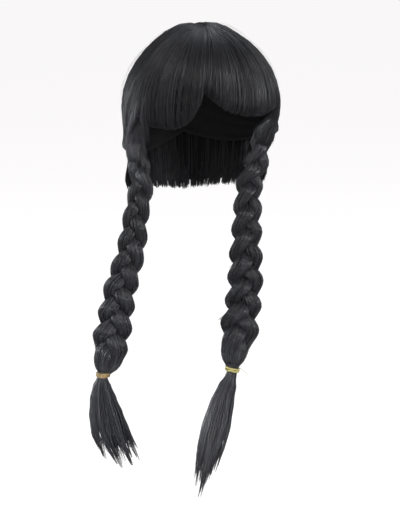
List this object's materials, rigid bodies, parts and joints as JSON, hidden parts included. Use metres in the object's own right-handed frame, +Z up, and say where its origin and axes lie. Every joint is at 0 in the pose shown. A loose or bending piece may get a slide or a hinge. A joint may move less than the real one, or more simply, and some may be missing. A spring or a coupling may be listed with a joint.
{
  "type": "braided wig",
  "caption": "Black wig with a centre-parted combed crown, a fringe in swept lobes and tied braids, hollow for the wearer's head.",
  "frame": {"origin": "the inside top of the head hollow, where the wearer's head carries the wig", "axes": "+Z up along the wig's height, -Y the way the wearer faces, +X to the wearer's left"},
  "size_m": [0.2218, 0.2086, 0.5271],
  "materials": {
    "hair": "soft sheen, synthetic hair",
    "tie": "satin"
  },
  "bodies": {
    "root": {"crown": "hair", "nape_hair": "hair", "fringe_right": "hair", "fringe_left": "hair", "temple_lock_right": "hair", "temple_lock_left": "hair", "braid_right_strand_1": "hair", "braid_right_strand_2": "hair", "braid_right_strand_3": "hair", "braid_left_strand_1": "hair", "braid_left_strand_2": "hair", "braid_left_strand_3": "hair", "hair_tie_right": "tie", "hair_tie_left": "tie", "tail_right": "hair", "tail_left": "hair"}
  },
  "joints": []
}
